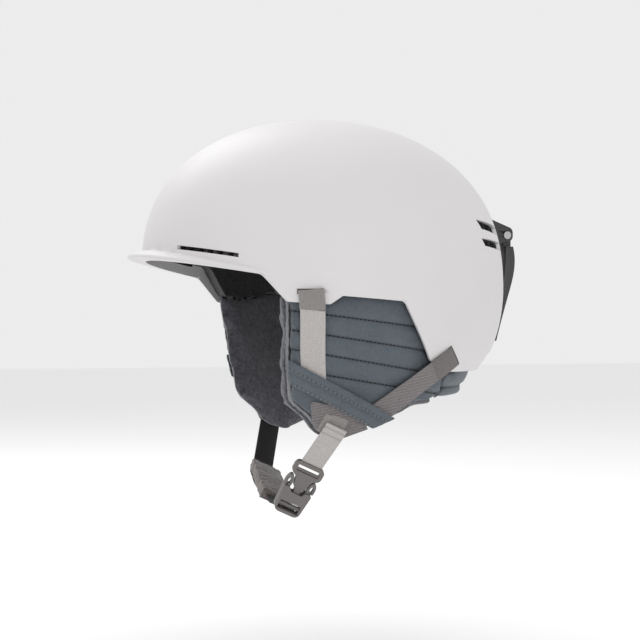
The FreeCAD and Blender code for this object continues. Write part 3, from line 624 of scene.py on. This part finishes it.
def webbing(name, dark, light, across, along, yarn, lean=0.0, rows=()):
    """Webbing whose weave follows two directions of space; rows of stitches cross it at places along it, each
    with painted shade beside it.
    """
    material, tree, shader, place = new_material(name, roughness=0.85, sheen=0.2, specular=0.3)
    measures = []
    for way in (across, along):
        node = tree.nodes.new("ShaderNodeVectorMath")
        node.operation = "DOT_PRODUCT"
        node.inputs[1].default_value = tuple(way)
        tree.links.new(place, node.inputs[0])
        measures.append(node.outputs["Value"])
    surface = use_group(tree, weave_tree, Across=measures[0], Along=measures[1], Yarn=yarn, Lean=lean,
                        Vector=place, Dark=dark, Light=light)
    colour = surface["Color"]
    for row in rows:
        # Each row of stitches is drawn in the dark colour, with a band of painted shade beside it.
        stitches = use_group(tree, stitch_tree, Across=calc(tree, "SUBTRACT", measures[1], row),
                             Along=measures[0], Pitch=0.002, Thread=0.0003)
        shadow = calc(tree, "SUBTRACT", 1.0, stitches["Pull"])
        colour = blend_colours(tree, calc(tree, "MAXIMUM", stitches["Mask"], shadow), colour, dark)
    tree.links.new(colour, shader.inputs["Base Color"])
    bump(tree, shader, surface["Height"], 0.7, 0.0003)
    return material


PALE = ((0.350, 0.328, 0.318), (0.640, 0.612, 0.598))
MIDDLE = ((0.100, 0.091, 0.093), (0.325, 0.300, 0.300))
BLACK = ((0.004, 0.0035, 0.0035), (0.018, 0.015, 0.015))
FRONT_WAY = Vector((0, 0.154, -0.988))
FRONT_ACROSS = Vector((0, 0.988, 0.154))
REAR_WAY = Vector((0, -0.79, -0.613))
REAR_ACROSS = Vector((0, 0.613, -0.79))
pale_webbing = webbing("pale_webbing", *PALE, FRONT_ACROSS, FRONT_WAY, yarn=0.0008)
twill_webbing = webbing("twill_webbing", *MIDDLE, REAR_ACROSS, REAR_WAY, yarn=0.0007, lean=1.0)
# The doubled tops of the straps wear darker copies of their own webbing: painted shade on the folds.
rear_fold_painted_shade_webbing = webbing("rear_fold_painted_shade_webbing", (0.105, 0.097, 0.095), (0.215, 0.200, 0.196), REAR_ACROSS,
                       REAR_WAY, yarn=0.0007, rows=[0.0019])
front_fold_painted_shade_webbing = webbing("front_fold_painted_shade_webbing", (0.175, 0.163, 0.158), (0.365, 0.348, 0.338),
                             FRONT_ACROSS, FRONT_WAY, yarn=0.0008, rows=[0.0192])
print(len(bpy.data.materials), "materials so far")

# %% [markdown]
# The chin loop hangs in a plane that leans forward, and the strap's width crosses that plane. The joints of
# the frame say where it hangs and which way the buckle pulls.

# %% Chin strap directions and webbing
TAB_OUT = 0.0766
chin_joint = next(j for j in frame["joints"] if j["name"] == "chin_loop_swing")
slide_joint = next(j for j in frame["joints"] if j["name"] == "buckle_release")
HANG_POINT = Vector(chin_joint["pos_m"])
BUCKLE_WAY = Vector(slide_joint["axis"]).normalized()
LOOP_UP = Vector((0, BUCKLE_WAY.y, BUCKLE_WAY.z)).normalized()
LOOP_ACROSS = Vector((1, 0, 0)).cross(LOOP_UP)
TAB_POINT = HANG_POINT + Vector((TAB_OUT, 0, 0))
tab_along = TAB_POINT.dot(BUCKLE_WAY)
pale_chin_webbing = webbing("pale_chin_webbing", *PALE, LOOP_ACROSS, BUCKLE_WAY, yarn=0.0008,
                            rows=[tab_along + 0.0015, tab_along - 0.0030])
# The folded top of the left chin strap wears the pale webbing painted darker: painted shade on the fold.
pale_fold_painted_shade_webbing = webbing("pale_fold_painted_shade_webbing", (0.190, 0.176, 0.170), (0.400, 0.380, 0.368),
                            LOOP_ACROSS, LOOP_UP, yarn=0.0008)
black_webbing = webbing("black_webbing", *BLACK, LOOP_ACROSS, (Vector((1, 0, 0)) - LOOP_UP) * 0.75,
                        yarn=0.0009)
print("loop plane leans", round(math.degrees(math.atan2(LOOP_UP.y, LOOP_UP.z)), 1), "degrees")

# %% [markdown]
# ## Hard pieces keep their shape
# The liner, vents, buckle and retainer are right as they are. Each gets its finish, smooth shading up to a
# sharp angle, and, on the small mouldings, a welded mesh with a slightly rounded edge.

# %% Finish the hard pieces
SOFT_EDGE = 0.0004


def dress(node, material, angle=30.0, edge=0.0):
    """Material, smooth shading and an optional rounded edge for a frame node."""
    piece = nodes[node]
    piece.data.materials.clear()
    piece.data.materials.append(material)
    if edge:
        weld = piece.modifiers.new("weld", "WELD")
        weld.merge_threshold = MERGE_DISTANCE
        rounding = piece.modifiers.new("rounding", "BEVEL")
        rounding.width = edge
        rounding.segments = 2
        rounding.limit_method = "ANGLE"
        rounding.angle_limit = math.radians(35)
    smooth(piece, angle)


dress("eps_liner", foam)
for side in ("left", "right"):
    dress("brow_vent_insert_" + side, louvre_plastic)
    dress("rear_vent_insert_" + side, louvre_plastic)
    dress("ear_pad_snaps_" + side, anchor_plastic)
    dress("strap_anchors_" + side, anchor_plastic)
for node in ("buckle_male", "buckle_female", "buckle_arm_front", "buckle_arm_rear"):
    dress(node, buckle_plastic, 40, SOFT_EDGE)
for node in ("goggle_arm", "goggle_bracket", "goggle_stud"):
    dress(node, retainer_plastic, 40, SOFT_EDGE)
dress("goggle_pin", steel)
dress("bracket_screw", steel)
print("dressed the hard pieces")

# %% [markdown]
# ## The shell's ridge
# Over the ears the shell has a soft ridge, which runs back above the pad and then turns down behind it.
# Below the ridge the skin leans in again, so it catches the light from the floor. The skin is cut along
# the ridge and at a few distances from it, and then it is lifted most at the ridge. Cutting first keeps the
# ridge straight.

# %% The shell's ridge
RIDGE_HEIGHT = 0.0019
RIDGE_SLOPE = 0.10
RIDGE_REACH = 0.017
RIDGE_SOFTNESS = 0.0012
RIDGE_CUTS = (-0.040, -0.026, -0.016, -0.008, -RIDGE_SOFTNESS, 0, RIDGE_SOFTNESS)
RIDGE_FADE = (-0.105, -0.075)
over_ear_way = Vector((0, -0.137, -1)).normalized()
behind_ear_way = Vector((0, -1, -0.66)).normalized()
RIDGE_LINES = ((Vector((0, 0, -0.0052)), over_ear_way), (Vector((0, 0.0352, 0)), behind_ear_way))


def below_ridge(point):
    """How far a point lies below the line over the ear and ahead of the one behind it; negative outside."""
    return min((point - start).dot(way) for start, way in RIDGE_LINES)


shell = copy_of("outer_shell", "painted_shell")
for start, way in RIDGE_LINES:
    for shift in RIDGE_CUTS:
        edit(shell)
        bpy.ops.mesh.bisect(plane_co=start + way * shift, plane_no=way)
        done()
for vertex in shell.data.vertices:
    inside = below_ridge(vertex.co)
    below = 0.5 * (inside + math.hypot(inside, RIDGE_SOFTNESS))
    lift = max(0, RIDGE_HEIGHT * math.exp((inside - below) / RIDGE_REACH) - RIDGE_SLOPE * below)
    fade = min(1, max(0, (vertex.co.y - RIDGE_FADE[0]) / (RIDGE_FADE[1] - RIDGE_FADE[0])))
    vertex.co.x += math.copysign(lift * fade, vertex.co.x)
smooth(shell, 30)
modify(shell, "WEIGHTED_NORMAL", keep_sharp=True, weight=80)
finish_piece(shell, "outer_shell", paint, ["outer_shell"])

# %% [markdown]
# ## Webbing
# A strap is folded back on itself where it passes through a slot, and sewn down, so its top is double. The
# folded part is the strap's own end, cut from it and made a little thicker and wider.

# %% Webbing
for side in ("left", "right"):
    dress("rear_strap_" + side, twill_webbing, 40, SOFT_EDGE)
dress("chin_strap_right", black_webbing, 40, SOFT_EDGE)
dress("chin_strap_tail", black_webbing, 40, SOFT_EDGE)


def round_webbing(piece):
    """Round the edges of a piece of webbing a little."""
    modify(piece, "BEVEL", width=SOFT_EDGE, segments=2, limit_method="ANGLE", angle_limit=math.radians(50))
    smooth(piece, 40)


def cut_from(node, name, cuts, proud):
    """The part of a frame node that lies ahead of every cut, a little proud of it all round."""
    piece = copy_of(node, name)
    for point, way in cuts:
        edit(piece)
        bpy.ops.mesh.bisect(plane_co=point, plane_no=way, clear_inner=True, use_fill=True)
        done()
    edit(piece)
    bpy.ops.mesh.remove_doubles(threshold=MERGE_DISTANCE)
    bpy.ops.mesh.normals_make_consistent(inside=False)
    bpy.ops.transform.shrink_fatten(value=proud)
    done()
    round_webbing(piece)
    return piece


FOLD_PROUD = 0.00035
FRONT_FOLD_END = Vector((0, 0, -0.0277))
REAR_FOLD_END = Vector((0, 0.0515, -0.0640))
front_fold = cut_from("front_strap_left", "front_fold_left", [(FRONT_FOLD_END, Vector((0, 0.1, 1)))],
                      FOLD_PROUD)
rear_fold = cut_from("rear_strap_left", "rear_fold_left", [(REAR_FOLD_END, -REAR_WAY)], FOLD_PROUD)
# Each fold wears the darker copy of its strap's webbing, as painted shade.
for fold, node, material, slot in ((front_fold, "front_strap_left", front_fold_painted_shade_webbing, "webbing_light"),
                                   (rear_fold, "rear_strap_left", rear_fold_painted_shade_webbing, "webbing")):
    twin = mirror_of(fold, fold.name.replace("left", "right"))
    for piece in (fold, twin):
        finish_piece(piece, node, material)

# %% [markdown]
# ### Front webbing and tab
# The front webbing ends under the sleeve, and so does the top of the tab that it is sewn to. The strap is
# cut off near the middle of the sleeve, and the upper edge of the tab is drawn up under it.

# %% Front webbing and tab
SLEEVE_POINT = Vector((0, -0.0520, -0.0620))
SLEEVE_ACROSS = Vector((0, 0.4703, 0.8825))
STRAP_TUCK = 0.003
front_left = cut_from("front_strap_left", "front_webbing_left",
                      [(SLEEVE_POINT - SLEEVE_ACROSS * STRAP_TUCK, SLEEVE_ACROSS)], 0)
tab_left = copy_of("strap_tab_left", "webbing_tab_left")
TAB_TOP = (Vector((0, -0.0326, -0.0900)), Vector((0, 0.0040, -0.0980)))
TAB_EDGE = 0.0035
TAB_DRAW = Vector((0.0028, -0.0012, 0.0070))
tab_way = (TAB_TOP[1] - TAB_TOP[0]).normalized()
tab_up = Vector((0, -tab_way.z, tab_way.y))
for vertex in tab_left.data.vertices:
    if (vertex.co - TAB_TOP[0]).dot(tab_up) > -TAB_EDGE and vertex.co.y < TAB_EDGE:
        vertex.co += TAB_DRAW
round_webbing(tab_left)
finish_pair(front_left, "front_strap_", pale_webbing)
finish_pair(tab_left, "strap_tab_", twill_webbing)

# %% [markdown]
# ### Left chin strap
# The strap is the frame's strap with its edges rounded, on a mesh of its own.

# %% Left chin strap
chin_left = cut_from("chin_strap_left", "chin_webbing_left", [], 0)
finish_piece(chin_left, "chin_strap_left", pale_chin_webbing, ["chin_strap_left"])
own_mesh(chin_left)

# %% [markdown]
# ### Folded top of the chin strap
# A short piece of webbing is box-stitched to the tab, and the chin strap hangs from it. It is the part of
# the tab between four cuts, made a little thicker.

# %% Folded top of the chin strap
PATCH_MIDDLE = Vector((0, -0.0170, -0.0995))
PATCH_HALF = (0.0074, 0.0066)
PATCH_PROUD = 0.0008
patch_cuts = []
for way, half in ((LOOP_ACROSS, PATCH_HALF[0]), (LOOP_UP, PATCH_HALF[1])):
    for sign in (1, -1):
        patch_cuts.append((PATCH_MIDDLE - way * half * sign, way * sign))
patch_left = cut_from("strap_tab_left", "chin_strap_top_left", patch_cuts, PATCH_PROUD)
patch_right = mirror_of(patch_left, "chin_strap_top_right")
# The left top wears the pale webbing painted darker, as painted shade.
finish_piece(patch_left, "strap_tab_left", pale_fold_painted_shade_webbing)
finish_piece(patch_right, "strap_tab_right", black_webbing)

# %% [markdown]
# ## Padded pieces
# A padded piece is sewn from flat panels over foam, so it crowns between its seams. The solid is copied,
# rebuilt as an even mesh and blown up a little as cloth under pressure; a limit keeps every point close to
# where it started, so the pad stays clear of its neighbours.

# %% Padding helpers
PAD_PRESSURE = 4.0
PAD_SHRINK = 0.0008
CLOTH_STEPS = 20


def remeshed(node, name, grid, rounds):
    """A copy of a frame node as an even, slightly smoothed mesh."""
    piece = copy_of(node, name)
    modify(piece, "REMESH", mode="VOXEL", voxel_size=grid)
    modify(piece, "SMOOTH", factor=0.5, iterations=rounds)
    return piece


def padded_from(node, name, grid=0.003, most=0.003):
    """A closed cloth pad grown from a frame node; no point moves further than most."""
    piece = remeshed(node, name, grid, 2)
    edit(piece)
    bpy.ops.transform.shrink_fatten(value=-PAD_SHRINK)
    done()
    began = [v.co.copy() for v in piece.data.vertices]
    cloth_modifier = piece.modifiers.new("cloth", "CLOTH")
    settings = cloth_modifier.settings
    settings.use_pressure = True
    settings.uniform_pressure_force = PAD_PRESSURE
    settings.effector_weights.gravity = 0
    settings.tension_stiffness = 40
    settings.bending_stiffness = 4
    cloth_modifier.point_cache.frame_start = 1
    cloth_modifier.point_cache.frame_end = CLOTH_STEPS
    for step in range(1, CLOTH_STEPS + 1):
        bpy.context.scene.frame_set(step)
    only(piece)
    bpy.ops.object.modifier_apply(modifier="cloth")
    bpy.context.scene.frame_set(1)
    for vertex, place in zip(piece.data.vertices, began):
        shift = vertex.co - place
        if shift.length > most:
            vertex.co = place + shift * (most / shift.length)
    modify(piece, "SUBSURF", levels=1, render_levels=1)
    smooth(piece)
    return piece


SEAM_WIDTH = 0.0022


def press(piece, gap, depth, facing=None):
    """Push points in along their normal near a seam; gap(point) is the distance to the seam."""
    def inwards(point, normal):
        """Most at the seam, and hardly anything a few widths away."""
        if facing is not None and not facing(point, normal):
            return Vector()
        return normal * (-depth * math.exp(-(gap(point) / SEAM_WIDTH) ** 2))
    shift_points(piece, inwards)


def spread(piece, chosen, reach):
    """Move edge faces outwards where chosen(point, normal) holds, so that panels meet."""
    def outwards(point, normal):
        """Away from the piece as seen from the side."""
        return Vector((0, normal.y, normal.z)) * reach if chosen(point, normal) else Vector()
    shift_points(piece, outwards)


def front_edge(point, normal):
    """The front and lower edge of an ear pad, seen from the side."""
    return abs(normal.x) < 0.6 and (normal.y < -0.25 or normal.z < -0.6) and point.y < 0.055


# %% [markdown]
# ### Ear pad covers
# The outer face of an ear pad is quilted: rows of stitches pull the cloth down into channels that slope
# gently down towards the back, and the foam rounds up between them.

# %% Ear pad covers


def quilt_gap(point):
    """The distance from a point to the nearest row of quilting."""
    back = point.y - QUILT_MIDDLE
    return min(abs(point.z - level - slope * back) for level, slope in QUILT_ROWS)


def outward(point, normal):
    """Whether a face looks away from the head."""
    return normal.x * point.x > 0 and abs(normal.x) > 0.35


CHANNEL_DEPTH = 0.0016
COVER_REACH = 0.0013
cover_left = padded_from("ear_pad_cover_left", "quilted_cover_left", grid=0.0025, most=0.0022)
press(cover_left, quilt_gap, CHANNEL_DEPTH, outward)
spread(cover_left, front_edge, COVER_REACH)
finish_pair(cover_left, "ear_pad_cover_", quilt_cloth)

# %% [markdown]
# ### Ear pad linings
# The side that lies on the ear is plain fleece with no seams. Its front edge is drawn out to the piping.

# %% Ear pad linings
LINING_REACH = 0.0026
lining_left = padded_from("ear_pad_lining_left", "fleece_lining_left")
spread(lining_left, front_edge, LINING_REACH)
finish_pair(lining_left, "ear_pad_lining_", fleece_cloth)

# %% [markdown]
# ### Piping
# The edge of the ear pad is bound with a soft roll of pale cloth, which wavers a little between stitches.

# %% Piping
FINE_GRID = 0.0007
PIPING_WAVER = 0.00016
PIPING_SHRINK = 0.00105


def slim(point, normal):
    """Draw the piping in, by an amount that wavers along it."""
    waver = math.sin(point.z * 520) * 0.6 + math.sin(point.z * 211 + point.y * 160)
    return normal * (PIPING_WAVER * waver - PIPING_SHRINK)


piping_left = remeshed("ear_pad_piping_left", "bound_edge_left", FINE_GRID, 8)
shift_points(piping_left, slim)
smooth(piping_left)
finish_pair(piping_left, "ear_pad_piping_", piping_cloth)

# %% [markdown]
# ### Sleeve
# A sleeve of quilt cloth crosses the pad and holds the webbing down. It is sewn as two soft rolls with a
# groove between them and a row of pale stitches beside each roll.

# %% Sleeve
ROLL_WIDTH = 0.00675
ROLL_HEIGHT = 0.0016
ROLL_SINK = 0.0004


def roll_up(point, normal):
    """Round the outer face up between the groove in the middle and each long edge."""
    across = abs((point - SLEEVE_POINT).dot(SLEEVE_ACROSS)) / ROLL_WIDTH
    crown = max(0.0, 1 - (2 * across - 1) ** 2)
    if normal.x > 0.2:
        return Vector((ROLL_HEIGHT * math.sqrt(crown) - ROLL_SINK, 0, 0))
    return Vector()


sleeve_left = remeshed("strap_sleeve_left", "sewn_sleeve_left", FINE_GRID, 4)
shift_points(sleeve_left, roll_up)
smooth(sleeve_left)
finish_pair(sleeve_left, "strap_sleeve_", sleeve_cloth)

# %% [markdown]
# ### Neck roll
# A padded roll closes the back of the helmet round the neck, with one level seam. Its front ends are drawn
# out a little to meet the ear pads.

# %% Neck roll
NECK_SEAM_DEPTH = 0.0018
NECK_REACH = 0.0022
FRONT_END = 0.07
neck = padded_from("neck_roll", "quilted_neck_roll")
press(neck, lambda point: abs(point.z - ROLL_SEAM), NECK_SEAM_DEPTH)
spread(neck, lambda point, normal: normal.y < -0.6 and point.y < FRONT_END, NECK_REACH)
finish_piece(neck, "neck_roll", roll_cloth, ["neck_roll"])

# %% [markdown]
# ### Comfort pads
# Soft pads at the brow, the crown, the back and both sides keep the head off the foam.

# %% Comfort pads
COMFORT_RISE = 0.0025
for node in ("brow_pad", "crown_pad", "rear_pad"):
    pad = padded_from(node, "soft_" + node, most=COMFORT_RISE)
    finish_piece(pad, node, comfort_cloth, [node])
side_left = padded_from("side_pad_left", "soft_side_pad_left", most=COMFORT_RISE)
finish_pair(side_left, "side_pad_", comfort_cloth)

# %% [markdown]
# ### Chin pad
# The chin pad is a loose fleece tube on the strap, so it lies in soft creases across its length.

# %% Chin pad
CREASE_WAY = Vector((0.93, -0.25, 0.27))
CREASE_DEPTH = 0.0006


def crumple(point, normal):
    """Creases that cross the pad in wavy lines, over a few soft lumps."""
    turn = point.dot(CREASE_WAY) * 520 + 1.3 * math.sin(point.y * 260) + 0.9 * math.sin(point.z * 330)
    lump = hetero_terrain(point * 90, 1.0, 2.0, 3, 0.5)
    return normal * (CREASE_DEPTH * (lump - 0.5) - CREASE_DEPTH * (1 - abs(math.sin(turn))) ** 2)


chin = padded_from("chin_pad", "fleece_chin_pad", grid=0.0018, most=0.004)
shift_points(chin, crumple)
finish_piece(chin, "chin_pad", chin_cloth, ["chin_pad"])
